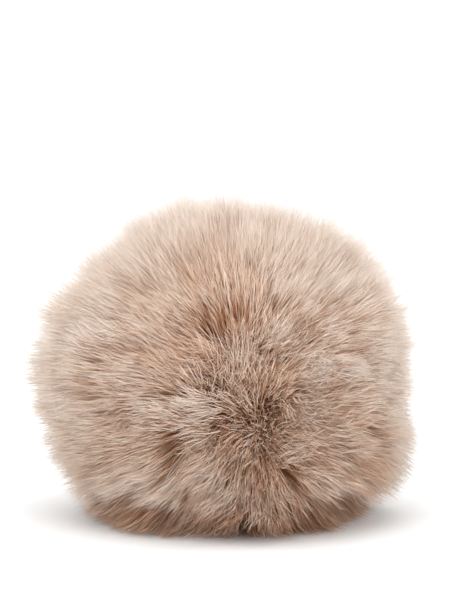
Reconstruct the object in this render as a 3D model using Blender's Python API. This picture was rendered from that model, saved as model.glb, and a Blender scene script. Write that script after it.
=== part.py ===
"""A long-pile fur pom pom, lying on its side, with the press stud that holds it to a hat.

Metres, +Z up. +X is to the right as seen from the front and +Y points out of the press stud,
at the back. The middle of the ball's box stands over the origin, on the surface it lies on.
"""

import random
from bisect import bisect_right
from math import acos, atan2, cos, degrees, pi, radians, sin, sqrt, tau

import bmesh
import bpy
from mathutils import Vector

MM = 0.001

# The stuffed skin ball that the pile grows from
SKIN_RADIUS = 28 * MM
SKIN_HEIGHT = 44 * MM
SEAT_REACH = 30 * MM
SEAT_RADIUS = 13.5 * MM
SEAT_EDGE = sqrt(SEAT_REACH**2 + SEAT_RADIUS**2)
SEAT_ANGLE = acos(SEAT_REACH / SEAT_EDGE)
NECK_ANGLE = radians(35)

# How far the pile reaches from the middle of the skin ball
FRONT_REACH = 57 * MM
BACK_REACH = 46 * MM
FULLNESS = 2.1
FRONT_OUTLINE = (
    # (angle from +X towards +Z in degrees, reach in millimetres), seen from the front
    (0, 60.0),
    (28, 63.5),
    (55, 62.0),
    (80, 60.5),
    (105, 63.0),
    (125, 61.5),
    (150, 66.0),
    (173, 70.5),
    (198, 67.5),
    (219, 68.0),
    (240, 65.0),
    (270, 61.0),
    (300, 65.0),
    (320, 69.0),
    (342, 64.0),
)

# The pile is combed up and to the left across the front, less so at the sides and not behind,
# and hangs a little at the sides
COMB = Vector((-4.5, 0, 5.0)) * MM
COMB_AT_SIDES = 0.15
COMB_TO_FRONT = 0.9
DROOP = 1.6 * MM

# The pile's locks, each over its own patch of skin
LOCK_POINTS = 266
SEAT_POINTS = 13
FIRST_ROW_GAP = radians(4.5)
PLACE_SCATTER = 0.030
LENGTH_SCATTER = 0.045
TIP_SCATTER = 0.22
SEED = 11
POINTED_LOCK = (
    # (share of the way along the pile, share of the lock's patch that it fills)
    (0.0, 0.80),
    (0.42, 0.89),
    (0.80, 0.84),
    (0.94, 0.54),
)
LEVEL_LOCK = (
    # the same for a lock under the ball, which is shorter and ends level on the surface
    (0.0, 0.80),
    (0.42, 0.89),
    (0.82, 0.86),
    (1.0, 0.74),
)

# The press stud, whose pieces stand 0.3 mm off the seat and off each other
TURNED_STEPS = 32
MERGE_DISTANCE = 0.01 * MM
SHARP_ANGLE = radians(40)
HOLE_COUNT = 4
HOLE_RADIUS = 1.1 * MM
HOLE_CIRCLE = 8.3 * MM
CUTTER_STEPS = 16
CUTTER_LENGTH = 6 * MM
CUTTER_HEIGHT = 2 * MM
RIM_PROFILE = (
    # (radius, height over the seat) in millimetres, round the brass cup that the plate sits in
    (9.2, 0.3),
    (11.4, 0.3),
    (11.6, 0.6),
    (11.6, 1.7),
    (11.4, 1.9),
    (11.0, 1.9),
    (10.9, 1.7),
    (10.9, 0.8),
    (9.2, 0.8),
)
PLATE_PROFILE = (
    # the lacquered plate: rolled edge, flange for the sewing holes, collar round the stud
    (2.6, 1.1),
    (10.3, 1.1),
    (10.55, 1.4),
    (10.5, 2.1),
    (10.25, 2.4),
    (9.95, 2.3),
    (9.65, 1.9),
    (6.0, 1.9),
    (5.6, 2.2),
    (5.3, 2.8),
    (4.9, 3.0),
    (4.5, 2.8),
    (4.3, 2.3),
    (2.6, 2.1),
)
STUD_PROFILE = (
    # the brass stud: foot under the plate, neck, and the ball that snaps into its socket
    (0.0, 0.3),
    (4.0, 0.3),
    (4.0, 0.8),
    (2.2, 0.8),
    (2.2, 3.0),
    (2.8, 3.2),
    (3.3, 3.7),
    (3.5, 4.3),
    (3.35, 4.9),
    (2.9, 5.4),
    (2.2, 5.7),
    (1.4, 5.8),
    (0.0, 5.8),
)

FINISHES = {
    # name: linear colour, roughness, metallic
    "faux_fur": ((0.56, 0.38, 0.28), 0.9, 0.0),
    "black_lacquer": ((0.012, 0.011, 0.011), 0.25, 0.0),
    "brass": ((0.55, 0.40, 0.13), 0.3, 1.0),
}


def clear_scene():
    for obj in list(bpy.data.objects):
        bpy.data.objects.remove(obj)


def finish(name):
    colour, roughness, metallic = FINISHES[name]
    material = bpy.data.materials.new(name)
    material.use_nodes = True
    shader = material.node_tree.nodes["Principled BSDF"]
    shader.inputs["Base Color"].default_value = (*colour, 1)
    shader.inputs["Roughness"].default_value = roughness
    shader.inputs["Metallic"].default_value = metallic
    return material


def add_object(name, mesh, material, parent):
    mesh.materials.append(material)
    obj = bpy.data.objects.new(name, mesh)
    bpy.context.scene.collection.objects.link(obj)
    obj.parent = parent
    return obj


def add_empty(name, location, parent=None):
    empty = bpy.data.objects.new(name, None)
    empty.location = location
    empty.parent = parent
    bpy.context.scene.collection.objects.link(empty)
    return empty


# The shape of the pile


def eased(share):
    """0 to 1 with a soft start and end."""
    share = min(max(share, 0.0), 1.0)
    return share * share * (3 - 2 * share)


def outline_reach(angle):
    """The reach seen from the front at an angle in degrees, on a smooth closed curve."""
    rows = len(FRONT_OUTLINE)
    here = bisect_right([row[0] for row in FRONT_OUTLINE], angle % 360) - 1

    def row(index):
        turn, place = divmod(index, rows)
        return FRONT_OUTLINE[place][0] + 360 * turn, FRONT_OUTLINE[place][1]

    (a0, r0), (a1, r1), (a2, r2), (a3, r3) = (row(here + k) for k in (-1, 0, 1, 2))
    share = (angle % 360 - a1) / (a2 - a1)
    slope1 = (r2 - r0) / (a2 - a0) * (a2 - a1)
    slope2 = (r3 - r1) / (a3 - a1) * (a2 - a1)
    bend = share * share * (3 - 2 * share)
    start = share * (1 - share) ** 2
    end = share * share * (share - 1)
    return (r1 + (r2 - r1) * bend + slope1 * start + slope2 * end) * MM


def skin_reach(direction):
    """From the middle of the skin ball to its skin, which is drawn up to a flat seat at the back."""
    off_axis = acos(min(max(direction.y, -1.0), 1.0))
    if off_axis <= SEAT_ANGLE:
        return SEAT_REACH / cos(off_axis)
    share = eased((off_axis - SEAT_ANGLE) / NECK_ANGLE)
    return SEAT_EDGE + (SKIN_RADIUS - SEAT_EDGE) * share


def pile_reach(direction):
    """From the middle of the skin ball to the tips of the pile, were there no surface below."""
    across = sqrt(direction.x**2 + direction.z**2)
    outline = outline_reach(degrees(atan2(direction.z, direction.x)))
    depth = BACK_REACH if direction.y > 0 else FRONT_REACH
    flat = (across / outline) ** FULLNESS
    deep = (abs(direction.y) / depth) ** FULLNESS
    return (flat + deep) ** (-1 / FULLNESS)


def lean(direction):
    """How far the comb and the pile's own weight carry a tip sideways."""
    combed = COMB * eased(COMB_AT_SIDES - COMB_TO_FRONT * direction.y)
    hung = Vector((0, 0, -DROOP)) * (1 - direction.z**2)
    moved = combed + hung
    return moved - direction * moved.dot(direction)


def pile_point(direction, share):
    """The place a share of the way along the pile that grows in a direction.

    What would reach below the surface is pressed up on to it, and ends level there.
    """
    root = direction * skin_reach(direction)
    spread = direction * (pile_reach(direction) - skin_reach(direction))
    leaning = lean(direction)
    place = root + spread * share + leaning * share**2
    lowest = (root + spread + leaning).z + SKIN_HEIGHT
    if lowest < 0:
        above = root.z + SKIN_HEIGHT
        place.z = root.z + (place.z - root.z) * above / (above - lowest)
    place.z = max(place.z, -SKIN_HEIGHT)
    return place


def pressed_down(direction):
    return (direction * pile_reach(direction) + lean(direction)).z + SKIN_HEIGHT < 0


# The fur ball


def lock_directions(draw):
    """Directions spread evenly over the skin outside the seat, and a ring of them round it."""
    ring = []
    for k in range(SEAT_POINTS):
        turn = tau * k / SEAT_POINTS
        ring.append(Vector((sin(SEAT_ANGLE) * cos(turn), cos(SEAT_ANGLE), sin(SEAT_ANGLE) * sin(turn))))
    spread = []
    highest = cos(SEAT_ANGLE + FIRST_ROW_GAP)
    golden_turn = pi * (3 - sqrt(5))
    for k in range(LOCK_POINTS):
        height = highest - (highest + 1) * (k + 0.5) / LOCK_POINTS
        across = sqrt(1 - height**2)
        turn = golden_turn * k
        scatter = Vector([draw.gauss(0, PLACE_SCATTER) for _ in range(3)])
        spread.append((Vector((across * cos(turn), height, across * sin(turn))) + scatter).normalized())
    return ring, spread


def patches_of_skin(ring, spread):
    """The skin as four-sided patches, a few of them three-sided, and the round seat."""
    net = bmesh.new()
    seat_corners = {net.verts.new(direction) for direction in ring}
    for direction in spread:
        net.verts.new(direction)
    bmesh.ops.convex_hull(net, input=net.verts)
    seat_faces = [face for face in net.faces if seat_corners.issuperset(face.verts)]
    bmesh.ops.dissolve_faces(net, faces=seat_faces)
    around = [face for face in net.faces if len(face.verts) == 3]
    bmesh.ops.join_triangles(
        net, faces=around, angle_face_threshold=pi, angle_shape_threshold=pi
    )
    return net


def add_lock(ball, corners, directions, draw):
    """One lock on a patch of skin: rings that follow the pile, closed by a point or a level end."""
    middle = sum(directions, Vector()).normalized()
    level = all(pressed_down(direction) for direction in [middle, *directions])
    ring = corners
    for share, width in LEVEL_LOCK if level else POINTED_LOCK:
        shrunk = [middle.lerp(direction, width).normalized() for direction in directions]
        outer = [ball.verts.new(pile_point(direction, share)) for direction in shrunk]
        for k in range(len(ring)):
            after = (k + 1) % len(ring)
            ball.faces.new((ring[k], ring[after], outer[after], outer[k]))
        ring = outer
    if level:
        ball.faces.new(ring)
        return
    patch = (directions[0] - middle).length
    aside = Vector([draw.uniform(-1, 1) for _ in range(3)]) * patch * TIP_SCATTER
    tip_share = 1 + draw.uniform(-LENGTH_SCATTER, LENGTH_SCATTER)
    tip = ball.verts.new(pile_point((middle + aside).normalized(), tip_share))
    for k in range(len(ring)):
        ball.faces.new((ring[k], ring[(k + 1) % len(ring)], tip))


def fur_ball_mesh():
    draw = random.Random(SEED)
    net = patches_of_skin(*lock_directions(draw))
    ball = bmesh.new()
    roots = {vert: ball.verts.new(pile_point(vert.co.normalized(), 0)) for vert in net.verts}
    for patch in net.faces:
        corners = [roots[vert] for vert in patch.verts]
        if len(corners) == SEAT_POINTS:
            ball.faces.new(corners)
        else:
            add_lock(ball, corners, [vert.co.normalized() for vert in patch.verts], draw)
    mesh = bpy.data.meshes.new("fur_ball")
    ball.to_mesh(mesh)
    ball.free()
    net.free()
    return mesh


# The press stud


def turned_mesh(name, profile):
    """A closed solid turned about Z from a profile in millimetres."""
    work = bmesh.new()
    points = [work.verts.new((radius * MM, 0, height * MM)) for radius, height in profile]
    on_axis = profile[0][0] == 0
    pairs = list(zip(points, points[1:]))
    if not on_axis:
        pairs.append((points[-1], points[0]))
    edges = [work.edges.new(pair) for pair in pairs]
    bmesh.ops.spin(
        work, geom=points + edges, axis=(0, 0, 1), cent=(0, 0, 0), angle=tau, steps=TURNED_STEPS
    )
    bmesh.ops.remove_doubles(work, verts=work.verts, dist=MERGE_DISTANCE)
    bmesh.ops.recalc_face_normals(work, faces=work.faces)
    mesh = bpy.data.meshes.new(name)
    work.to_mesh(mesh)
    work.free()
    mesh.shade_smooth()
    mesh.set_sharp_from_angle(angle=SHARP_ANGLE)
    return mesh


def cut_sewing_holes(plate, material, parent):
    """Four holes through the plate's flange, a quarter turn apart."""
    for k in range(HOLE_COUNT):
        turn = tau * k / HOLE_COUNT
        work = bmesh.new()
        bmesh.ops.create_cone(
            work,
            cap_ends=True,
            segments=CUTTER_STEPS,
            radius1=HOLE_RADIUS,
            radius2=HOLE_RADIUS,
            depth=CUTTER_LENGTH,
        )
        mesh = bpy.data.meshes.new("sewing_hole")
        work.to_mesh(mesh)
        work.free()
        cutter = add_object("sewing_hole_%d" % (k + 1), mesh, material, parent)
        cutter.location = (HOLE_CIRCLE * cos(turn), HOLE_CIRCLE * sin(turn), CUTTER_HEIGHT)
        cutter.hide_render = True
        cutter.display_type = "WIRE"
        cut = plate.modifiers.new("sewing_hole_%d" % (k + 1), "BOOLEAN")
        cut.operation = "DIFFERENCE"
        cut.object = cutter


def main():
    clear_scene()
    fur = finish("faux_fur")
    lacquer = finish("black_lacquer")
    brass = finish("brass")

    pom = add_empty("pom", (0, 0, 0))
    ball = add_object("fur_ball", fur_ball_mesh(), fur, pom)
    ball.location = (0, 0, SKIN_HEIGHT)

    seat = add_empty("seat", (0, SEAT_REACH, SKIN_HEIGHT), pom)
    seat.rotation_euler = (radians(-90), 0, 0)
    add_object("snap_rim", turned_mesh("snap_rim", RIM_PROFILE), brass, seat)
    add_object("snap_stud", turned_mesh("snap_stud", STUD_PROFILE), brass, seat)
    plate = add_object("snap_plate", turned_mesh("snap_plate", PLATE_PROFILE), lacquer, seat)
    cut_sewing_holes(plate, lacquer, seat)

    places = [vert.co for vert in ball.data.vertices]
    for axis in (0, 1):
        reaches = [place[axis] for place in places]
        pom.location[axis] = -(min(reaches) + max(reaches)) / 2


main()
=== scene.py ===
import math

import bmesh
import bpy
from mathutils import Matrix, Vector, noise


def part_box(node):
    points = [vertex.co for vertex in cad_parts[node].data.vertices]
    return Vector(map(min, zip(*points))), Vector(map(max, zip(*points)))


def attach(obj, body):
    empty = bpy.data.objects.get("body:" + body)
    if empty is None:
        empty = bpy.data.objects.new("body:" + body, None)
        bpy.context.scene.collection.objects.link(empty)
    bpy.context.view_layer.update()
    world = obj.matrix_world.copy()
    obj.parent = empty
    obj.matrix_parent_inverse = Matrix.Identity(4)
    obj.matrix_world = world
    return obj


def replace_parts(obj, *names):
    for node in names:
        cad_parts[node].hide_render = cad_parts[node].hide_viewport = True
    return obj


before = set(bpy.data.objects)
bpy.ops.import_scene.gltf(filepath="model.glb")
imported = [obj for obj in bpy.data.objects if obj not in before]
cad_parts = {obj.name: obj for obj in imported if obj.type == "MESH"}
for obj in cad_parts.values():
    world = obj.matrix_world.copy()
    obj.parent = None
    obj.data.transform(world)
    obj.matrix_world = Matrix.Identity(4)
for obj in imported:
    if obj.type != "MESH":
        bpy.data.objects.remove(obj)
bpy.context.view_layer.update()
print("frame loaded:", sorted(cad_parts))

mm = 0.001


# shared helpers

mathNode, vectorNode = "ShaderNodeMath", "ShaderNodeVectorMath"


def hexColour(text):
    # sRGB hex to linear RGBA
    parts = [int(text[k:k + 2], 16) / 255 for k in (1, 3, 5)]
    linear = [c / 12.92 if c <= 0.04045 else ((c + 0.055) / 1.055) ** 2.4 for c in parts]
    return (*linear, 1.0)


def feed(tree, node, links):
    # what a node's inputs are linked or set to; a node given as a source stands for its first output
    for socket, source in links.items():
        if isinstance(source, bpy.types.Node):
            source = source.outputs[0]
        if isinstance(source, bpy.types.NodeSocket):
            tree.links.new(source, node.inputs[socket])
        else:
            node.inputs[socket].default_value = source


def addNode(tree, kind, links=None, **settings):
    node = tree.nodes.new(kind)
    for name, value in settings.items():
        setattr(node, name, value)
    feed(tree, node, links or {})
    return node


def addPiece(name, mesh):
    # an object at the origin that rides on the part's one body
    piece = bpy.data.objects.new(name, mesh)
    bpy.context.scene.collection.objects.link(piece)
    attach(piece, "root")
    return piece


def newMaterial(name):
    material = bpy.data.materials.new(name)
    material.use_nodes = True
    tree = material.node_tree
    return material, tree, tree.nodes["Principled BSDF"]


def setRamp(node, stops):
    ramp = node.color_ramp
    while len(ramp.elements) > 1:
        ramp.elements.remove(ramp.elements[-1])
    ramp.elements[0].position, ramp.elements[0].color = stops[0]
    for place, colour in stops[1:]:
        ramp.elements.new(place).color = colour


# camera: a low view across the ball, framed as in the photograph

camera = {
    "lens": 90.0,               # mm
    "sensor": 36.0,             # mm
    "pitch": 4.0,               # degrees down
    "imageSize": (450, 600),
    "groundPixel": (220, 517),  # where the point under the ball's middle shows
    "ballWidth": 130 * mm,
    "ballPixels": 388,
}


def makeCamera(c):
    data = bpy.data.cameras.new("camera")
    data.lens = c["lens"]
    data.sensor_width = c["sensor"]
    data.dof.use_dof = False
    focalPixels = c["lens"] / c["sensor"] * max(c["imageSize"])
    distance = focalPixels * c["ballWidth"] / c["ballPixels"]
    pitch = math.radians(c["pitch"])
    forward = Vector((0, math.cos(pitch), -math.sin(pitch)))
    up = Vector((0, math.sin(pitch), math.cos(pitch)))
    right = Vector((1, 0, 0))
    across = (c["groundPixel"][0] - c["imageSize"][0] / 2) / focalPixels
    above = (c["imageSize"][1] / 2 - c["groundPixel"][1]) / focalPixels
    obj = bpy.data.objects.new("camera", data)
    obj.location = -distance * (forward + across * right + above * up)
    obj.rotation_euler = (math.radians(90) - pitch, 0, 0)
    bpy.context.scene.collection.objects.link(obj)
    bpy.context.scene.camera = obj


makeCamera(camera)


# stage and light: white sweep, one very large soft light overhead, a soft box either side of the camera

studio = {
    "floorSize": 8.0,
    "paper": ("#E4E4E4", "#E6E6E6"),  # under this light it shows as white
    "paperClouds": 333.3 * mm,
    "paperRoughness": 0.9,
    "paperSpecular": 0.1,
    "roomStrength": 1.12,
    "skyStrength": 1.35,  # watts per square metre
    "skyAngle": 60.0,     # degrees across, for soft shadows
    "skyFrom": (0.0, -0.2, 1.0),
    "boxes": [
        # name, place, size in metres, power in watts
        ("left box", (-1.1, -1.1, 0.7), 1.0, 9.0),
        ("right box", (1.1, -1.1, 0.7), 1.0, 8.2),
    ],
}


def makeStudio(s):
    # uncoated background paper: dead matt, with hardly a cloud in it
    material, tree, shader = newMaterial("matte white studio paper")
    coords = addNode(tree, "ShaderNodeTexCoord")
    clouds = addNode(tree, "ShaderNodeTexNoise",
                     {"Vector": coords.outputs["Object"], "Scale": 1 / s["paperClouds"]})
    tint = addNode(tree, "ShaderNodeValToRGB", {"Fac": clouds})
    setRamp(tint, [(0.0, hexColour(s["paper"][0])), (1.0, hexColour(s["paper"][1]))])
    feed(tree, shader,
         {"Base Color": tint, "Roughness": s["paperRoughness"], "Specular IOR Level": s["paperSpecular"]})
    half = s["floorSize"] / 2
    mesh = bpy.data.meshes.new("floor")
    corners = [(-half, -half, 0), (half, -half, 0), (half, half, 0), (-half, half, 0)]
    mesh.from_pydata(corners, [], [(0, 1, 2, 3)])
    mesh.materials.append(material)
    floor = bpy.data.objects.new("floor", mesh)
    bpy.context.scene.collection.objects.link(floor)

    world = bpy.data.worlds.new("studio")
    world.use_nodes = True
    background = world.node_tree.nodes["Background"]
    background.inputs["Color"].default_value = (1, 1, 1, 1)
    background.inputs["Strength"].default_value = s["roomStrength"]
    bpy.context.scene.world = world

    data = bpy.data.lights.new("overhead", "SUN")
    data.energy = s["skyStrength"]
    data.angle = math.radians(s["skyAngle"])
    lamps = [(data, Vector(s["skyFrom"]))]
    for name, place, size, power in s["boxes"]:
        data = bpy.data.lights.new(name, "AREA")
        data.shape = "DISK"
        data.size = size
        data.energy = power
        lamps.append((data, Vector(place)))
    for data, place in lamps:
        lamp = bpy.data.objects.new(data.name, data)
        lamp.location = place
        lamp.rotation_euler = (-place).to_track_quat("-Z", "Y").to_euler()
        bpy.context.scene.collection.objects.link(lamp)
    bpy.context.scene.view_settings.view_transform = "Standard"


makeStudio(studio)
print("camera, floor and lights made")


# the ball: how far its pile reaches each way, within a few millimetres of the solid, and how it lies

ball = {
    # the stuffed skin, and the flat seat behind that carries the press stud
    "skinRadius": 28 * mm,
    "skinSplits": 6,
    "seatReach": 30 * mm,
    "seatRadius": 13.5 * mm,
    "seatGap": 0.3 * mm,
    "neckAngle": math.radians(35),
    "bareRadius": (11.2 * mm, 12.6 * mm),  # no pile under the press stud, full pile outside
    # the reach of the pile from the skin's middle
    "frontReach": 57 * mm,
    "backReach": 46 * mm,
    "fullness": 2.1,    # 2 makes an ellipse from the outline to the front, more is fuller
    "fullFoot": 0.5,    # fuller still where it is pressed on the floor
    "crest": 2.6 * mm,  # single fibres stand a little higher than the solid's locks on top
    "outline": [
        # degrees from +X towards +Z, reach in mm
        (0, 61.5), (28, 65.0), (55, 63.5), (80, 61.0), (105, 63.6), (125, 63.6), (150, 68.3),
        (173, 72.0), (198, 68.0), (219, 66.5), (240, 66.5), (270, 61.0), (300, 67.0),
        (320, 68.0), (342, 65.0),
    ],
    "hollows": [
        # x and z of the middle, half length, half height, how much shorter the pile is there
        (-25, -42, 17, 4.5, 0.30),
        (38, -44, 13, 4, 0.38),
        (9, -23, 5, 4, 0.15),
        (12, -12, 4, 5, 0.12),
        (19, -11, 4, 3, 0.10),
        (9, 3, 5, 4, 0.12),
        (5, 13, 4, 5, 0.12),
    ],
    "hollowEnds": 4,    # power of the fade at their ends: 2 is gentle, more is abrupt
    "hollowsTo": 0.1,   # they end a little behind the outline
    # how the pile leans; a fade is the share at the outline, and what the whole way forwards adds, then eased
    "comb": Vector((-5.5, 0, 5.5)) * mm,
    "combFade": (0.15, 0.9),
    "droop": 1.6 * mm,
    "crown": [
        # x and z in mm of the line that the front pile falls away from, from the ball's middle
        (0, 25), (3, 14), (6, 4), (10, -6), (11, -14), (9, -27),
    ],
    "sweep": 10 * mm,       # how far the pile falls away from it
    "sweepFade": (0.1, 1.1),
    "sweepUpright": 0.4,    # and how much of that up and down
    "sweepStart": 10 * mm,  # from the line, where half of it is reached
    "crownWidth": 15 * mm,
    "swirlSeed": 6,
    "swirlApart": Vector((7.3, 2.1, 5.7)),  # so that the swirls of each size are others
    "swirls": [
        # size over the skin, how far they carry the tips sideways
        (14 * mm, 9.0 * mm),
        (7.0 * mm, 8.0 * mm),
        (3.5 * mm, 5.5 * mm),
    ],
    "partings": [
        # x and z of the middle from the ball's own, length, width, tilt in degrees, push
        (1, 15, 22, 9, 60, 5.0),
        (17, -12, 26, 11, 110, 5.5),
        (-1, -17, 16, 9, 20, 3.5),
        (-12, -34, 22, 8, 15, 4.0),
        (-33, -40, 30, 7, -8, 5.0),
        (10, 8, 14, 8, -30, 4.0),
    ],
    # how far out from the middle each part of the ball sets in, and over how much more it is reached
    "parts": {"rim": (0.6, 0.35), "top": (0.3, 0.5), "under": (0.75, 0.2), "back": (0.0, 0.5),
              "foot": (0.35, 0.4)},
    # heights over the floor up to which the painted foot shade and the painted contact shadow reach
    "heights": {"paintedFootShade": 15 * mm, "touching": 3 * mm},  # over the floor
    "changes": {
        # how much more or less of each the pile has in those parts, and at the crown
        "swirl": {"rim": -0.62, "crown": 0.7},
        "grows": {"crown": 1.2, "under": -0.6, "back": -0.3, "top": 0.35},  # fibres to the mm2
        "mess": {"crown": 0.9, "rim": -0.4},  # how far each fibre strays
        "locks": {"rim": -0.62, "top": -0.35, "crown": 0.3},  # how far they gather into locks
        "width": {"rim": -0.28, "top": -0.28},
        # painted light on the tips, paler on top and at the rim, and painted shade at the crown, where they
        # are less pale
        "pale": {"crown": -0.10, "top": 0.08, "rim": 0.05},  # of the tips
        # painted light and painted shade in the fibres' tone: lighter at the rim, a little darker on top and
        # at the crown, painted shade over the foot and a painted contact shadow just above the floor
        "shade": {"top": -0.03, "rim": 0.06, "crown": -0.01, "paintedFootShade": -0.10, "touching": -0.34},
    },
    "patches": [
        # x and z of the middle, half length, half height, tone against the rest; painted shade low down and
        # under the ledges, painted light on the upper right and right
        (44, -27, 14, 12, -0.36),
        (-44, -27, 14, 12, -0.18),
        (37, 34, 16, 12, 0.12),
        (54, 3, 10, 14, 0.10),
        (-22, -41, 13, 4, -0.08),
        (42, -41, 14, 4, -0.12),
    ],
}

# the middle of the press stud's seat, to a hundredth of a millimetre
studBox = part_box("snap_stud")
studMiddle = (studBox[0] + studBox[1]) / 2
seatAt = Vector([round(place, 5) for place in (studMiddle.x, studBox[0].y - ball["seatGap"], studMiddle.z)])
skinMiddle = seatAt - Vector((0, ball["seatReach"], 0))
seatEdge = math.hypot(ball["seatReach"], ball["seatRadius"])
seatAngle = math.atan2(ball["seatRadius"], ball["seatReach"])


def eased(share):
    share = min(max(share, 0.0), 1.0)
    return share * share * (3 - 2 * share)


def outlineReach(angle):
    # smooth closed curve through the outline's rows
    rows = ball["outline"]
    count = len(rows)
    angle %= 360
    here = max(k for k in range(count) if rows[k][0] <= angle)
    near = []
    for k in range(here - 1, here + 3):
        turn, place = divmod(k, count)
        near.append((rows[place][0] + 360 * turn, rows[place][1]))
    (a0, r0), (a1, r1), (a2, r2), (a3, r3) = near
    share = (angle - a1) / (a2 - a1)
    slope1 = (r2 - r0) / (a2 - a0) * (a2 - a1)
    slope2 = (r3 - r1) / (a3 - a1) * (a2 - a1)
    bend = share * share * (3 - 2 * share)
    return (r1 + (r2 - r1) * bend + slope1 * share * (1 - share) ** 2
            + slope2 * share * share * (share - 1)) * mm


def skinReach(direction):
    offAxis = math.acos(min(max(direction.y, -1.0), 1.0))
    if offAxis <= seatAngle:
        return ball["seatReach"] / math.cos(offAxis)
    share = eased((offAxis - seatAngle) / ball["neckAngle"])
    return seatEdge + (ball["skinRadius"] - seatEdge) * share


def inPart(distance, part):
    # 0 before a part of the ball, 1 where it is reached
    start, width = ball["parts"][part]
    return eased((distance - start) / width)


def inPatch(direction, reach, patch, ends=2):
    # 1 in the middle of a patch as seen from the front, fading past its half length and half height
    x, z, halfLength, halfHeight = patch
    along = (direction.x * reach / mm - x) / halfLength
    above = (direction.z * reach / mm - z) / halfHeight
    return math.exp(-along ** ends - above ** 2)


def pileReach(direction):
    across = math.hypot(direction.x, direction.z)
    outline = outlineReach(math.degrees(math.atan2(direction.z, direction.x)))
    depth = ball["backReach"] if direction.y > 0 else ball["frontReach"]
    power = ball["fullness"] + ball["fullFoot"] * inPart(-direction.z, "foot")
    reach = ((across / outline) ** power + (abs(direction.y) / depth) ** power) ** (-1 / power)
    reach += ball["crest"] * eased(direction.z)
    if direction.y < ball["hollowsTo"]:
        for *patch, share in ball["hollows"]:
            reach *= 1 - share * inPatch(direction, reach, patch, ball["hollowEnds"])
    return reach


def fromCrown(tip):
    # the way from the nearest point of the crown's line to a fibre's tip, as seen from the front
    place = Vector((tip.x, tip.z))
    rows = [Vector(row) * mm for row in ball["crown"]]
    ways = []
    for start, end in zip(rows, rows[1:]):
        run = end - start
        share = min(max((place - start).dot(run) / run.length_squared, 0.0), 1.0)
        ways.append(place - start - run * share)
    return min(ways, key=lambda way: way.length)


def partsOf(direction, away):
    # how far a point is in each part of the ball, from 0 to 1
    return {
        "crown": math.exp(-(away.length / ball["crownWidth"]) ** 2) if direction.y < 0 else 0.0,
        "rim": inPart(math.hypot(direction.x, direction.z), "rim"),
        "top": inPart(direction.z, "top"),
        "under": inPart(-direction.z, "under"),
        "back": inPart(direction.y, "back"),
    }


def changed(quality, parts, usual=1.0):
    # what the pile has of a quality, given the parts of the ball that a point is in
    return sum((change * parts[part] for part, change in ball["changes"][quality].items()), usual)


def leanOf(direction, tip, away, parts):
    # the comb up and to the left in front, the droop at the sides, the swirls and the partings
    (combShare, combRate), (sweepShare, sweepRate) = ball["combFade"], ball["sweepFade"]
    moved = ball["comb"] * eased(combShare - combRate * direction.y)
    moved = moved + Vector((0, 0, -ball["droop"])) * (1 - direction.z ** 2)
    outwards = Vector((away.x, 0, away.y * ball["sweepUpright"])) / (away.length + ball["sweepStart"])
    moved = moved + outwards * ball["sweep"] * eased(sweepShare - sweepRate * direction.y)
    swirl = changed("swirl", parts)
    for step, (size, carry) in enumerate(ball["swirls"]):
        place = direction * ball["skinRadius"] / size + ball["swirlApart"] * (step + 1)
        moved = moved + noise.noise_vector(place) * carry * swirl
    if direction.y < 0:
        for x, z, length, width, tilt, push in ball["partings"]:
            turn = math.radians(tilt)
            dx, dz = tip.x - x * mm, tip.z - z * mm
            along = (dx * math.cos(turn) + dz * math.sin(turn)) / (length / 2 * mm)
            across = (dz * math.cos(turn) - dx * math.sin(turn)) / (width / 2 * mm)
            fade = math.exp(-along * along - across * across / 4)  # its push reaches twice its width
            sideways = Vector((-math.sin(turn), 0, math.cos(turn))) * math.tanh(across)
            moved = moved + sideways * fade * push * mm
    return moved - direction * moved.dot(direction)


# what each point of the skin tells the fibres that grow there: where they reach, how they lean and where
# that puts their tips, then the qualities above

skinNotes = {"spread": "FLOAT_VECTOR", "lean": "FLOAT_VECTOR", "tip": "FLOAT_VECTOR", "grows": "FLOAT",
             "mess": "FLOAT", "locks": "FLOAT", "width": "FLOAT", "shade": "FLOAT", "pale": "FLOAT"}


def notesAt(root, direction):
    # all of these at one point
    reach = pileReach(direction)
    out = direction * (reach - skinReach(direction))
    away = fromCrown(direction * reach)
    parts = partsOf(direction, away)
    # how far each point lies in the painted foot shade and the painted contact shadow, by its height over the
    # floor
    for part, height in ball["heights"].items():
        parts[part] = eased((height - root.z - out.z) / height)
    lean = leanOf(direction, direction * reach, away, parts)
    notes = {"spread": out, "lean": lean, "tip": root + out + lean, "shade": changed("shade", parts, 0.0)}
    for quality in ("grows", "mess", "locks", "width", "pale"):
        notes[quality] = changed(quality, parts)
    bareFrom, bareTo = ball["bareRadius"]
    fromStud = math.hypot(root.x - seatAt.x, root.z - seatAt.z)
    if direction.y > 0 and fromStud < bareTo:
        notes["grows"] *= eased((fromStud - bareFrom) / (bareTo - bareFrom))
    if direction.y < 0:
        # painted shade and painted light in patches, as seen from the front
        for *patch, tone in ball["patches"]:
            notes["shade"] += tone * inPatch(direction, reach, patch)
    return notes


def makeSkin():
    noise.seed_set(ball["swirlSeed"])
    work = bmesh.new()
    bmesh.ops.create_icosphere(work, subdivisions=ball["skinSplits"], radius=1)
    directions = [vert.co.normalized() for vert in work.verts]
    for vert, direction in zip(work.verts, directions):
        vert.co = skinMiddle + direction * skinReach(direction)
    mesh = bpy.data.meshes.new("fur_skin")
    work.to_mesh(mesh)
    work.free()
    mesh.shade_smooth()
    rows = [notesAt(vert.co, direction) for vert, direction in zip(mesh.vertices, directions)]
    for name, kind in skinNotes.items():
        data = mesh.attributes.new(name, kind, "POINT").data
        if kind == "FLOAT_VECTOR":
            data.foreach_set("vector", [part for row in rows for part in row[name]])
        else:
            data.foreach_set("value", [row[name] for row in rows])
    return mesh


# the pile's material

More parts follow.
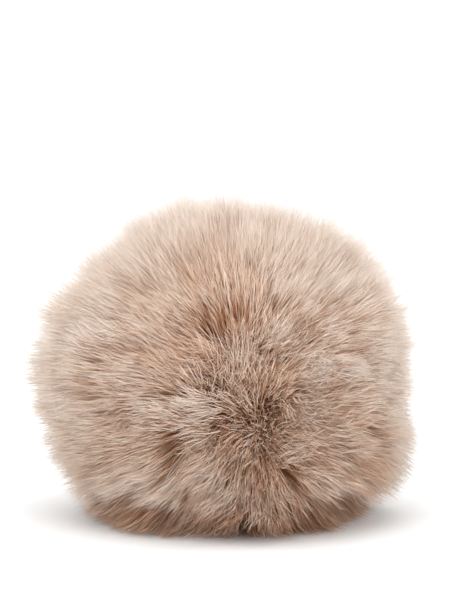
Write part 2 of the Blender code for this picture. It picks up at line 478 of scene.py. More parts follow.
pile = {
    # colour from the root to the tip of a fibre
    "alongFibre": [
        (0.00, "#D6965F"),
        (0.40, "#E2B088"),
        (0.66, "#E9CAB1"),
        (0.82, "#EBDDD3"),
        (1.00, "#F0EAE5"),
    ],
    # and how the fibres differ from each other, as a tint; the painted shade and painted light over the ball
    # move fibres along it too
    "amongFibres": [
        (0.02, "#A9785A"),
        (0.20, "#DFC0A8"),
        (0.42, "#EEE0D4"),
        (0.65, "#F6EFE8"),
        (0.90, "#FDFAF6"),
    ],
    "roughness": (0.42, 0.62),  # of the darkest fibres and the palest
    "specular": 0.3,
    "sheen": 0.1,
    "sheenRoughness": 0.4,
}


def makePileMaterial(p):
    # modacrylic faux fur: extruded fibres, brown at the roots and browner where shade is painted on, pale and
    # silky at the tips
    material, tree, shader = newMaterial("modacrylic pile, tip printed")
    uv = addNode(tree, "ShaderNodeUVMap", uv_map="OFBake")
    parts = addNode(tree, "ShaderNodeSeparateXYZ", {"Vector": uv})
    along = addNode(tree, "ShaderNodeValToRGB", {"Fac": parts.outputs["Y"]})
    setRamp(along, [(place, hexColour(text)) for place, text in p["alongFibre"]])
    among = addNode(tree, "ShaderNodeValToRGB", {"Fac": parts.outputs["X"]})
    setRamp(among, [(place, hexColour(text)) for place, text in p["amongFibres"]])
    tinted = addNode(tree, "ShaderNodeMix", {"Factor": 1.0, 6: along, 7: among}, data_type="RGBA",
                     blend_type="MULTIPLY")
    silky, dull = p["roughness"]
    gloss = addNode(tree, "ShaderNodeMapRange", {"Value": parts.outputs["X"], 3: silky, 4: dull})
    feed(tree, shader,
         {"Base Color": tinted.outputs[2], "Roughness": gloss, "Specular IOR Level": p["specular"],
          "Sheen Weight": p["sheen"], "Sheen Roughness": p["sheenRoughness"]})
    return material


# the pile itself, grown on the skin by Geometry Nodes

pileLayers = [
    # each piece, and what differs from the layer before
    {"name": "fur_underfur", "Fibres per mm2": 3.6, "Seed": 11, "Shortest": 0.58, "Longest": 0.92,
     "Thickness": 0.38 * mm, "Segments": 1, "Joint Power": 1.0, "Own Scatter": 3 * mm, "Frizz": 6 * mm,
     "Printed": 0.85, "Tuft Pull": 0.30, "Lock Pull": 0.22, "Tuft Spacing": 1.6 * mm,
     "Lock Spacing": 4.6 * mm, "Tuft Scatter": 2.5 * mm, "Lock Scatter": 3.8 * mm, "Wave": 9 * mm},
    {"name": "fur_pile_1", "Fibres per mm2": 1.80, "Seed": 21, "Shortest": 0.82, "Longest": 1.01,
     "Thickness": 0.14 * mm, "Segments": 2, "Joint Power": 0.26, "Own Scatter": 2.9 * mm, "Frizz": 3 * mm,
     "Printed": 1.0},
    {"name": "fur_pile_2", "Seed": 22, "Shortest": 0.93, "Longest": 1.03},
    {"name": "fur_pile_3", "Fibres per mm2": 1.12, "Seed": 23, "Shortest": 0.94, "Longest": 1.04,
     "Thickness": 0.13 * mm, "Segments": 3, "Joint Power": 0.34},
    {"name": "fur_pile_4", "Fibres per mm2": 4.4, "Seed": 24, "Shortest": 0.90, "Longest": 1.05,
     "Thickness": 0.26 * mm, "Segments": 1, "Own Scatter": 3 * mm},
    {"name": "fur_strays", "Fibres per mm2": 0.40, "Seed": 25, "Shortest": 0.94, "Longest": 1.06,
     "Thickness": 0.07 * mm, "Segments": 3, "Own Scatter": 6 * mm, "Frizz": 10 * mm},
]

fibre = {
    # what all layers share
    "sharedSize": (0.965, 1.02),  # length that a whole tuft or lock shares, against the rest
    "lockShare": 0.45,   # of the tone that is shared, what the lock gives, against the tuft
    "sharedTone": 0.5,   # and what of the tone is shared
    "swell": 2.2,        # how much thicker than a plain spike it is towards the tip
    "curls": (("Frizz", 260.0), ("Wave", 75.0)),  # to the metre
    "floorSoftness": 4 * mm,
    "toneEnds": (0.03, 0.97),  # places on the map
    "lengthEnds": (0.01, 0.99),
    "mapWidth": 0.015,   # how wide a fibre is on it
    "mapSkew": 0.6,      # so that none of its faces is a line there
    # seeds of the random draws
    "gathering": (("Tuft", 5, 25), ("Lock", 8, 28)),  # middles, and how far each strays
    "ownStray": 30,
    "ownSize": 1,
    "sharedSizes": (2, 7),
    "ownTone": 3,
    "tuftTone": 4,
    "lockTone": 9,
    "roll": 6,
}


def makePileTree(f, material):
    tree = bpy.data.node_groups.new("growPile", "GeometryNodeTree")
    face = tree.interface
    face.new_socket("Skin", in_out="INPUT", socket_type="NodeSocketGeometry")
    for name, value in list(pileLayers[0].items())[1:]:
        face.new_socket(name, in_out="INPUT", socket_type="NodeSocket" + type(value).__name__.capitalize())
    face.new_socket("Pile", in_out="OUTPUT", socket_type="NodeSocketGeometry")
    given = addNode(tree, "NodeGroupInput").outputs
    onSkin = {name: addNode(tree, "GeometryNodeInputNamedAttribute", {"Name": name}, data_type=kind)
              for name, kind in skinNotes.items()}
    place = addNode(tree, "GeometryNodeInputPosition")
    anyWay = {0: (-1, -1, -1), 1: (1, 1, 1)}

    # fibre roots, and the middles of the small tufts and of the big locks that they gather to
    density = addNode(tree, mathNode, {0: given["Fibres per mm2"], 1: 1 / mm ** 2}, operation="MULTIPLY")
    thinned = addNode(tree, mathNode, {0: density, 1: onSkin["grows"]}, operation="MULTIPLY")
    roots = addNode(tree, "GeometryNodeDistributePointsOnFaces",
                    {"Mesh": given["Skin"], "Density": thinned, "Seed": given["Seed"]})
    bend = onSkin["lean"]
    near = []
    for name, seed, straySeed in f["gathering"]:
        middles = addNode(tree, "GeometryNodeDistributePointsOnFaces",
                          {"Mesh": given["Skin"], "Distance Min": given[name + " Spacing"],
                           "Density Max": 1 / mm ** 2, "Seed": seed}, distribute_method="POISSON")
        nearest = addNode(tree, "GeometryNodeSampleNearest", {"Geometry": middles})
        lockTip = addNode(tree, "GeometryNodeSampleIndex",
                          {"Geometry": middles, "Value": onSkin["tip"], "Index": nearest},
                          data_type="FLOAT_VECTOR")
        away = addNode(tree, vectorNode, {0: lockTip, 1: onSkin["tip"]}, operation="SUBTRACT")
        pulled = addNode(tree, mathNode, {0: given[name + " Pull"], 1: onSkin["locks"]}, operation="MULTIPLY")
        scattered = addNode(tree, mathNode, {0: given[name + " Scatter"], 1: onSkin["locks"]},
                            operation="MULTIPLY")
        gathered = addNode(tree, vectorNode, {0: away, 1: pulled, 2: bend}, operation="MULTIPLY_ADD")
        stray = addNode(tree, "FunctionNodeRandomValue", {**anyWay, "ID": nearest, "Seed": straySeed},
                        data_type="FLOAT_VECTOR")
        bend = addNode(tree, vectorNode, {0: stray, 1: scattered, 2: gathered}, operation="MULTIPLY_ADD")
        near.append(nearest)
    ownStray = addNode(tree, "FunctionNodeRandomValue", {**anyWay, "Seed": f["ownStray"]},
                       data_type="FLOAT_VECTOR")
    ownReach = addNode(tree, mathNode, {0: given["Own Scatter"], 1: onSkin["mess"]}, operation="MULTIPLY")
    strayed = addNode(tree, vectorNode, {0: ownStray, 1: ownReach, 2: bend}, operation="MULTIPLY_ADD")
    # none of this makes a fibre longer: what points along it is taken out
    lengthwise = addNode(tree, vectorNode, {0: strayed, 1: onSkin["spread"]}, operation="PROJECT")
    bend = addNode(tree, vectorNode, {0: strayed, 1: lengthwise}, operation="SUBTRACT")

    # each fibre's length and tone: its own, and some that its whole tuft or lock shares
    ownSize = addNode(tree, "FunctionNodeRandomValue",
                      {2: given["Shortest"], 3: given["Longest"], "Seed": f["ownSize"]}, data_type="FLOAT")
    size = ownSize.outputs[1]
    shortest, longest = f["sharedSize"]
    for nearest, seed in zip(near, f["sharedSizes"]):
        shared = addNode(tree, "FunctionNodeRandomValue",
                         {2: shortest, 3: longest, "ID": nearest, "Seed": seed}, data_type="FLOAT")
        size = addNode(tree, mathNode, {0: size, 1: shared.outputs[1]}, operation="MULTIPLY")
    ownTone, tuftTone, lockTone = (
        addNode(tree, "FunctionNodeRandomValue", {2: 0.0, 3: 1.0, "Seed": seed, **group}, data_type="FLOAT")
        for seed, group in ((f["ownTone"], {}), (f["tuftTone"], {"ID": near[0]}),
                            (f["lockTone"], {"ID": near[1]})))
    shared = addNode(tree, "ShaderNodeMix",
                     {"Factor": f["lockShare"], 2: tuftTone.outputs[1], 3: lockTone.outputs[1]},
                     data_type="FLOAT")
    mixed = addNode(tree, "ShaderNodeMix", {"Factor": f["sharedTone"], 2: ownTone.outputs[1], 3: shared},
                    data_type="FLOAT")
    differing = addNode(tree, mathNode, {0: mixed, 1: 0.5}, operation="SUBTRACT")
    # the skin's shade note moves the tone: painted shade and painted light over parts of the ball
    middle = addNode(tree, mathNode, {0: onSkin["shade"], 1: 0.5}, operation="ADD")
    tone = addNode(tree, mathNode, {0: differing, 1: onSkin["locks"], 2: middle}, operation="MULTIPLY_ADD")
    roll = addNode(tree, "FunctionNodeRandomValue", {**anyWay, "Seed": f["roll"]}, data_type="FLOAT_VECTOR")
    kept = addNode(tree, "GeometryNodeCaptureAttribute", {"Geometry": roots})
    own = kept.outputs
    for name, kind, source in (("root", "VECTOR", place), ("spread", "VECTOR", onSkin["spread"]),
                               ("bend", "VECTOR", bend), ("size", "FLOAT", size), ("tone", "FLOAT", tone),
                               ("roll", "VECTOR", roll), ("width", "FLOAT", onSkin["width"]),
                               ("pale", "FLOAT", onSkin["pale"])):
        kept.capture_items.new(kind, name)
        feed(tree, kept, {name: source})

    # one straight fibre, a three-sided spike one metre high, on each root
    spike = addNode(tree, "GeometryNodeMeshCone",
                    {"Vertices": 3, "Side Segments": given["Segments"], "Radius Top": 0.0,
                     "Radius Bottom": 1.0, "Depth": 1.0})
    form = addNode(tree, "GeometryNodeCaptureAttribute", {"Geometry": spike})
    form.capture_items.new("VECTOR", "shape")
    feed(tree, form, {"shape": place})
    planted = addNode(tree, "GeometryNodeInstanceOnPoints", {"Points": kept, "Instance": form})
    real = addNode(tree, "GeometryNodeRealizeInstances", {"Geometry": planted})

    # bent along its course, and curled
    shape = addNode(tree, "ShaderNodeSeparateXYZ", {0: form.outputs["shape"]})
    along = addNode(tree, mathNode, {0: shape.outputs["Z"], 1: given["Joint Power"]}, operation="POWER")
    reach = addNode(tree, mathNode, {0: along, 1: own["size"]}, operation="MULTIPLY")
    course = addNode(tree, vectorNode, {0: own["bend"], 1: reach, 2: own["spread"]}, operation="MULTIPLY_ADD")
    centre = addNode(tree, vectorNode, {0: course, 1: reach, 2: own["root"]}, operation="MULTIPLY_ADD")
    straight = addNode(tree, vectorNode, {0: own["spread"], 1: reach, 2: own["root"]},
                       operation="MULTIPLY_ADD")
    for amount, perMetre in f["curls"]:
        curls = addNode(tree, "ShaderNodeTexNoise", {"Vector": straight, "Scale": perMetre, "Detail": 1.0})
        centred = addNode(tree, vectorNode, {0: curls.outputs["Color"], 1: (0.5, 0.5, 0.5)},
                          operation="SUBTRACT")
        grown = addNode(tree, mathNode, {0: reach, 1: given[amount]}, operation="MULTIPLY")
        centre = addNode(tree, vectorNode, {0: centred, 1: grown, 2: centre}, operation="MULTIPLY_ADD")

    # what would reach below the floor is pressed up on to it
    softness = f["floorSoftness"]
    split = addNode(tree, "ShaderNodeSeparateXYZ", {0: centre})
    low = addNode(tree, mathNode, {0: split.outputs["Z"], 1: softness}, operation="MINIMUM")
    scaled = addNode(tree, mathNode, {0: low, 1: 1 / softness, 2: -1.0}, operation="MULTIPLY_ADD")
    pressed = addNode(tree, mathNode, {0: scaled}, operation="EXPONENT")
    rest = addNode(tree, mathNode, {0: split.outputs["Z"], 1: low}, operation="SUBTRACT")
    height = addNode(tree, mathNode, {0: pressed, 1: softness, 2: rest}, operation="MULTIPLY_ADD")
    lifted = addNode(tree, mathNode, {0: height, 1: given["Thickness"]}, operation="ADD")
    centre = addNode(tree, "ShaderNodeCombineXYZ", {0: split.outputs["X"], 1: split.outputs["Y"], 2: lifted})

    # its thickness, across its course
    twice = addNode(tree, mathNode, {0: reach, 1: 2.0}, operation="MULTIPLY")
    tangent = addNode(tree, vectorNode, {0: own["bend"], 1: twice, 2: own["spread"]},
                      operation="MULTIPLY_ADD")
    onward = addNode(tree, vectorNode, {0: tangent}, operation="NORMALIZE")
    crossed = addNode(tree, vectorNode, {0: onward, 1: own["roll"]}, operation="CROSS_PRODUCT")
    side = addNode(tree, vectorNode, {0: crossed}, operation="NORMALIZE")
    other = addNode(tree, vectorNode, {0: onward, 1: side}, operation="CROSS_PRODUCT")
    fuller = addNode(tree, mathNode, {0: shape.outputs["Z"], 1: f["swell"], 2: 1.0}, operation="MULTIPLY_ADD")
    full = addNode(tree, mathNode, {0: fuller, 1: given["Thickness"]}, operation="MULTIPLY")
    wide = addNode(tree, mathNode, {0: full, 1: own["width"]}, operation="MULTIPLY")
    offsets = addNode(tree, vectorNode, {0: form.outputs["shape"], "Scale": wide}, operation="SCALE")
    offset = addNode(tree, "ShaderNodeSeparateXYZ", {0: offsets})
    oneWay = addNode(tree, vectorNode, {0: side, 1: offset.outputs["X"], 2: centre}, operation="MULTIPLY_ADD")
    final = addNode(tree, vectorNode, {0: other, 1: offset.outputs["Y"], 2: oneWay}, operation="MULTIPLY_ADD")
    bent = addNode(tree, "GeometryNodeSetPosition", {"Geometry": real, "Position": final})

    # tone across the map, root to tip up it
    sideways = addNode(tree, mathNode, {0: shape.outputs["Y"], 1: f["mapSkew"], 2: shape.outputs["X"]},
                       operation="MULTIPLY_ADD")
    dark, light = f["toneEnds"]
    toneRange = addNode(tree, "ShaderNodeMapRange", {"Value": own["tone"], 3: dark, 4: light})
    mapX = addNode(tree, mathNode, {0: sideways, 1: f["mapWidth"], 2: toneRange}, operation="MULTIPLY_ADD")
    printed = addNode(tree, mathNode, {0: reach, 1: given["Printed"]}, operation="MULTIPLY")
    # how far up the ramp a fibre reaches: as printed, with painted light making the tips paler on top and at
    # the rim and painted shade making them less pale at the crown
    printedWithPaintedLight = addNode(tree, mathNode, {0: printed, 1: own["pale"]}, operation="MULTIPLY")
    root, end = f["lengthEnds"]
    mapY = addNode(tree, "ShaderNodeMapRange", {"Value": printedWithPaintedLight, 3: root, 4: end})
    mapped = addNode(tree, "ShaderNodeCombineXYZ", {0: mapX, 1: mapY})
    stored = addNode(tree, "GeometryNodeStoreNamedAttribute",
                     {"Geometry": bent, "Name": "OFBake", "Value": mapped}, data_type="FLOAT2",
                     domain="CORNER")
    smooth = addNode(tree, "GeometryNodeSetShadeSmooth", {"Geometry": stored, "Shade Smooth": True})
    coloured = addNode(tree, "GeometryNodeSetMaterial", {"Geometry": smooth, "Material": material})
    addNode(tree, "NodeGroupOutput", {"Pile": coloured})
    return tree


def plainMesh(host, tree, values):
    # what a tree of nodes makes of an object with these inputs; the object itself goes
    bpy.context.scene.collection.objects.link(host)
    modifier = host.modifiers.new("nodes", "NODES")
    modifier.node_group = tree
    sockets = {item.name: item.identifier for item in tree.interface.items_tree if item.in_out == "INPUT"}
    for name, value in values.items():
        modifier[sockets[name]] = value
    depsgraph = bpy.context.evaluated_depsgraph_get()
    mesh = bpy.data.meshes.new_from_object(host.evaluated_get(depsgraph), preserve_all_data_layers=True,
                                           depsgraph=depsgraph)
    mesh.name = host.name
    bpy.data.objects.remove(host)
    print(mesh.name, "made,", sum(len(face.vertices) - 2 for face in mesh.polygons), "triangles")
    return mesh


def growLayers(skinMesh, material):
    tree = makePileTree(fibre, material)
    values = {}
    for layer in pileLayers:
        values.update(layer)
        name = values.pop("name")
        mesh = plainMesh(bpy.data.objects.new(name, skinMesh), tree, values)
        addPiece(name, mesh)


# the cloth that the pile is knitted into: pale where it shows round the press stud

backing = {
    "bare": "#D9D0C4",
    "dyed": "#A5775A",
    "bareBehind": (32 * mm, 35 * mm),  # along Y: dyed before this, bare past it
    "stitch": 0.9 * mm,
    "stitchShade": 0.72,
    "stitchDepth": 0.15 * mm,
    "roughness": 0.85,
}


def makeBackingMaterial(b):
    # warp knitted polyester: matte, with small even loops
    material, tree, shader = newMaterial("warp knitted polyester backing")
    coords = addNode(tree, "ShaderNodeTexCoord")
    parts = addNode(tree, "ShaderNodeSeparateXYZ", {"Vector": coords.outputs["Object"]})
    start, end = b["bareBehind"]
    back = addNode(tree, "ShaderNodeMapRange", {"Value": parts.outputs["Y"], 1: start, 2: end})
    loops = addNode(tree, "ShaderNodeTexVoronoi",
                    {"Vector": coords.outputs["Object"], "Scale": 1 / b["stitch"]})
    shade = addNode(tree, "ShaderNodeMapRange", {"Value": loops, 3: 1.0, 4: b["stitchShade"]})
    cloth = addNode(tree, "ShaderNodeMix", {"Factor": back, 6: hexColour(b["dyed"]), 7: hexColour(b["bare"])},
                    data_type="RGBA")
    shaded = addNode(tree, vectorNode, {0: cloth.outputs[2], "Scale": shade}, operation="SCALE")
    bump = addNode(tree, "ShaderNodeBump", {"Height": loops, "Distance": b["stitchDepth"]}, invert=True)
    feed(tree, shader, {"Base Color": shaded, "Normal": bump, "Roughness": b["roughness"]})
    return material


skinMesh = makeSkin()
print("skin made,", len(skinMesh.polygons), "faces")
growLayers(skinMesh, makePileMaterial(pile))
skinMesh.materials.append(makeBackingMaterial(backing))
skinPiece = addPiece("fur_skin", skinMesh)
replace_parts(skinPiece, "fur_ball")


# the press stud: turned pieces, as in the solids but with rounded corners

pressStud = {
    "steps": 96,
    "holeCount": 4,
    "holeCircle": 8.3,
    "rim": [
        # radius and height over the seat in mm, here and below
        (9.2, 0.3), (11.4, 0.3), (11.6, 0.6), (11.6, 1.7), (11.4, 1.9), (11.0, 1.9), (10.9, 1.7),
        (10.9, 0.8), (9.2, 0.8),
    ],
    "plate": [
        (2.6, 1.1), (10.3, 1.1), (10.55, 1.4), (10.5, 2.1), (10.25, 2.4), (9.95, 2.3), (9.65, 1.9),
        (6.0, 1.9), (5.6, 2.2), (5.3, 2.8), (4.9, 3.0), (4.5, 2.8), (4.3, 2.3), (2.6, 2.1),
    ],
    "stud": [
        (0.0, 0.3), (4.0, 0.3), (4.0, 0.8), (2.2, 0.8), (2.2, 3.0), (2.8, 3.2), (3.3, 3.7), (3.5, 4.3),
        (3.35, 4.9), (2.9, 5.4), (2.2, 5.7), (1.4, 5.8), (0.0, 5.8),
    ],
    # what is cut out for a sewing hole, flared so that its edges are broken
    "hole": [
        (0.0, 0.6), (1.5, 0.6), (1.45, 1.0), (1.15, 1.25), (1.1, 1.5), (1.15, 1.75), (1.45, 2.0),
        (1.5, 2.8), (0.0, 2.8),
    ],
    "corner": [0.20, 0.08],  # mm cut from each corner, first and second time
    "cornerShare": 0.3,      # of a side, at most
    "merged": 0.001 * mm,
    "sharpAngle": math.radians(40),
}


def rounded(profile, cut):
    # each corner gives way to two points, at most cut away from it
    ends = (0, len(profile) - 1) if profile[0][0] == 0 else ()
    points = []
    for k, place in enumerate(profile):
        here = Vector(place)
        if k in ends:
            points.append(here)
            continue
        for other in (profile[k - 1], profile[(k + 1) % len(profile)]):
            way = Vector(other) - here
            points.append(here + way * min(pressStud["cornerShare"], cut / way.length))
    return points


def turned(name, profile, centre):
    # a closed piece, spun about the line through centre along +Y
    for cut in pressStud["corner"]:
        profile = rounded(profile, cut)
    work = bmesh.new()
    points = [work.verts.new(centre + Vector((radius, height, 0)) * mm) for radius, height in profile]
    pairs = list(zip(points, points[1:]))
    if profile[0][0] > 0:
        pairs.append((points[-1], points[0]))
    edges = [work.edges.new(pair) for pair in pairs]
    bmesh.ops.spin(work, geom=points + edges, axis=(0, 1, 0), cent=centre, angle=math.tau,
                   steps=pressStud["steps"])
    bmesh.ops.remove_doubles(work, verts=work.verts, dist=pressStud["merged"])
    bmesh.ops.recalc_face_normals(work, faces=work.faces)
    mesh = bpy.data.meshes.new(name)
    work.to_mesh(mesh)
    work.free()
    mesh.shade_smooth()
    mesh.set_sharp_from_angle(angle=pressStud["sharpAngle"])
    return mesh


def pierced(mesh):
    # the plate with its sewing holes cut through
    plate = bpy.data.objects.new("plate", mesh)
    bpy.context.scene.collection.objects.link(plate)
    cutters = []
    for k in range(pressStud["holeCount"]):
        turn = math.tau * k / pressStud["holeCount"]
        offset = Vector((math.cos(turn), 0, math.sin(turn))) * pressStud["holeCircle"] * mm
        cutter = bpy.data.objects.new("cutter", turned("cutter", pressStud["hole"], seatAt + offset))
        bpy.context.scene.collection.objects.link(cutter)
        cut = plate.modifiers.new("hole", "BOOLEAN")
        cut.operation = "DIFFERENCE"
        cut.object = cutter
        cutters.append(cutter)
    depsgraph = bpy.context.evaluated_depsgraph_get()
    result = bpy.data.meshes.new_from_object(plate.evaluated_get(depsgraph), depsgraph=depsgraph)
    for obj in (plate, *cutters):
        bpy.data.objects.remove(obj)
    result.set_sharp_from_angle(angle=pressStud["sharpAngle"])
    return result


lacquer = {
    "enamel": "#0E0C0B",
    "enamelWorn": "#2A2420",
    "metal": "#A88B4A",
    # the rolled edge is what rubs: height over the seat in mm, and how far out
    "wearHeight": (2.15, 2.42),
    "wearFrom": 9.7 * mm,
    "wearPatch": 2.381 * mm,
    "wearEdge": (0.52, 0.62),
    "scratchWidth": 0.12 * mm,
    "scratchCourse": {"Rotation": (0, 0.7, 0), "Scale": (1, 1, 0.06)},  # long and slanting
    "scratchEdge": (0.60, 0.72),
    "scratchDepth": 0.01 * mm,
    "roughness": (0.10, 0.34),
    "specular": 0.3,
}


def placeOnSeat(tree):
    # where a point is, from the middle of the press stud's seat
    coords = addNode(tree, "ShaderNodeTexCoord")
    place = addNode(tree, vectorNode, {0: coords.outputs["Object"], 1: seatAt}, operation="SUBTRACT")
    return place, addNode(tree, "ShaderNodeSeparateXYZ", {"Vector": place}).outputs["Y"]


def makeLacquerMaterial(p):
    # black stoving enamel on stamped brass: deep gloss, hairline scratches, brass at the rubbed edge
    material, tree, shader = newMaterial("black stoving enamel on brass")
    place, height = placeOnSeat(tree)
    low, high = (edge * mm for edge in p["wearHeight"])
    crest = addNode(tree, "ShaderNodeMapRange", {"Value": height, 1: low, 2: high})
    patches = addNode(tree, "ShaderNodeTexNoise",
                      {"Vector": place, "Scale": 1 / p["wearPatch"], "Detail": 4.0})
    start, end = p["wearEdge"]
    chance = addNode(tree, "ShaderNodeMapRange", {"Value": patches, 1: start, 2: end})
    flat = addNode(tree, vectorNode, {0: place, 1: (1, 0, 1)}, operation="MULTIPLY")
    outward = addNode(tree, vectorNode, {0: flat}, operation="LENGTH")
    atEdge = addNode(tree, mathNode, {0: outward.outputs["Value"], 1: p["wearFrom"]},
                     operation="GREATER_THAN")
    rubbed = addNode(tree, mathNode, {0: crest, 1: chance}, operation="MULTIPLY")
    worn = addNode(tree, mathNode, {0: rubbed, 1: atEdge}, operation="MULTIPLY")
    stretched = addNode(tree, "ShaderNodeMapping", {"Vector": place, **p["scratchCourse"]})
    scratches = addNode(tree, "ShaderNodeTexNoise",
                        {"Vector": stretched, "Scale": 1 / p["scratchWidth"], "Detail": 2.0})
    start, end = p["scratchEdge"]
    lines = addNode(tree, "ShaderNodeMapRange", {"Value": scratches, 1: start, 2: end})
    enamel = addNode(tree, "ShaderNodeMix",
                     {"Factor": lines, 6: hexColour(p["enamel"]), 7: hexColour(p["enamelWorn"])},
                     data_type="RGBA")
    colour = addNode(tree, "ShaderNodeMix", {"Factor": worn, 6: enamel.outputs[2], 7: hexColour(p["metal"])},
                     data_type="RGBA")
    smooth, dull = p["roughness"]
    gloss = addNode(tree, "ShaderNodeMapRange", {"Value": scratches, 3: smooth, 4: dull})
    bump = addNode(tree, "ShaderNodeBump", {"Height": lines, "Distance": p["scratchDepth"]}, invert=True)
    feed(tree, shader,
         {"Base Color": colour.outputs[2], "Metallic": worn, "Roughness": gloss, "Normal": bump,
          "Specular IOR Level": p["specular"]})
    return material


brass = {
    "ageing": [(0.30, "#5E4E22"), (0.46, "#A58A3F"), (0.68, "#D9C27A")],  # tarnished, aged, bright
    "cloud": 1.4286 * mm,
    "cloudDepth": 0.02 * mm,
    "recess": (3.6 * mm, 0.6 * mm),  # heights over the seat between which it tarnishes
    "recessTarnish": 0.35,
    "roughness": (0.46, 0.20),
}


def makeBrassMaterial(p):
    # pressed brass, aged: olive gold, brighter where it rubs, brown in the recesses
    material, tree, shader = newMaterial("pressed brass, aged")
    place, height = placeOnSeat(tree)
    clouds = addNode(tree, "ShaderNodeTexNoise", {"Vector": place, "Scale": 1 / p["cloud"], "Detail": 5.0})
    ageing = addNode(tree, "ShaderNodeValToRGB", {"Fac": clouds})
    setRamp(ageing, [(place, hexColour(text)) for place, text in p["ageing"]])
    start, end = p["recess"]
    deep = addNode(tree, "ShaderNodeMapRange",
                   {"Value": height, 1: start, 2: end, 3: 0.0, 4: p["recessTarnish"]})
    colour = addNode(tree, "ShaderNodeMix", {"Factor": deep, 6: ageing, 7: hexColour(p["ageing"][0][1])},
                     data_type="RGBA")
    dull, smooth = p["roughness"]
    gloss = addNode(tree, "ShaderNodeMapRange", {"Value": clouds, 3: dull, 4: smooth})
    bump = addNode(tree, "ShaderNodeBump", {"Height": clouds, "Distance": p["cloudDepth"]})
    feed(tree, shader, {"Base Color": colour.outputs[2], "Roughness": gloss, "Normal": bump, "Metallic": 1.0})
    return material


lacquerMaterial = makeLacquerMaterial(lacquer)
brassMaterial = makeBrassMaterial(brass)
for node, key, slot, material in (("snap_rim", "rim", "brass", brassMaterial),
                                  ("snap_plate", "plate", "black_lacquer", lacquerMaterial),
                                  ("snap_stud", "stud", "brass", brassMaterial)):
    mesh = turned(key, pressStud[key], seatAt)
    if key == "plate":
        mesh = pierced(mesh)
    mesh.materials.append(material)
    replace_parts(addPiece("press_stud_" + key, mesh), node)
print("press stud turned")


# sewing thread and stray fibres over the press stud

